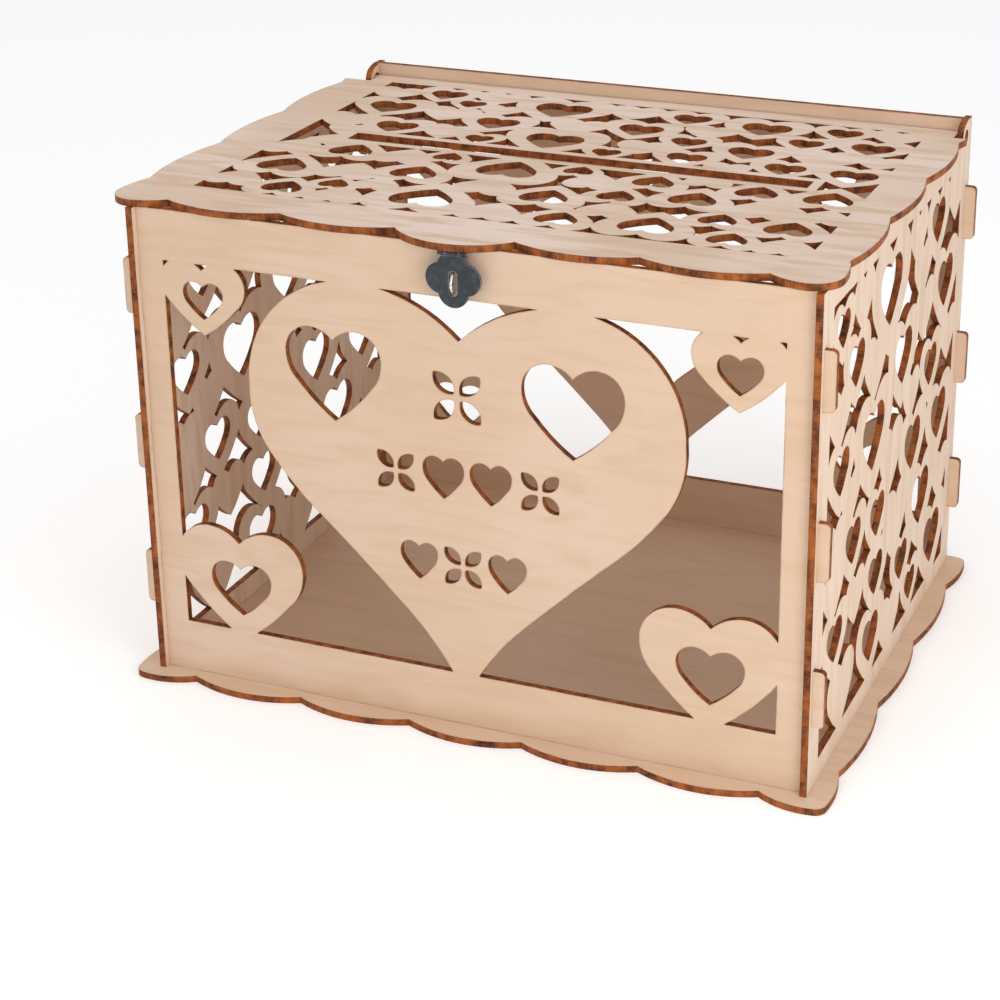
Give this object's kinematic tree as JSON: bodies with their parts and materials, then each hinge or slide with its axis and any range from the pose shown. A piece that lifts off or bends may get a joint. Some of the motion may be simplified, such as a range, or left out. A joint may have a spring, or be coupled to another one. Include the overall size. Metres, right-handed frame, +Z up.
{
  "type": "wedding card box",
  "caption": "Plywood card box with fretwork hearts in its walls and lid, a card slot, a lid that turns on pegs, scalloped edges and a small hasp over a staple.",
  "frame": {"origin": "middle of the underside of the base plate", "axes": "+X across the front towards the viewer's right, +Y from the front wall to the back wall, +Z up"},
  "size_m": [0.3214, 0.248, 0.2258],
  "materials": {
    "plywood": "bare birch plywood with scorched cut edges",
    "dark_metal": "blackened steel with bright rubbed edges",
    "bright_metal": "bright nickel-plated wire"
  },
  "bodies": {
    "box": {"base_plate": "plywood", "front_panel": "plywood", "back_panel": "plywood", "left_side_panel": "plywood", "right_side_panel": "plywood", "staple": "bright_metal"},
    "lid": {"lid_panel": "plywood", "hasp_leaf": "dark_metal", "leaf_nails": "dark_metal", "hasp_pin": "bright_metal"},
    "hasp": {"hasp_plate": "dark_metal"}
  },
  "joints": [
    {"name": "lid_hinge", "type": "hinge", "parent": "box", "child": "lid", "pos_m": [0, 0.11032, 0.2185], "axis": [-1, 0, 0], "range_deg": [0, 103]},
    {"name": "hasp_hinge", "type": "hinge", "parent": "lid", "child": "hasp", "pos_m": [0, -0.1176, 0.21565], "axis": [-1, 0, 0], "range_deg": [0, 100]}
  ]
}
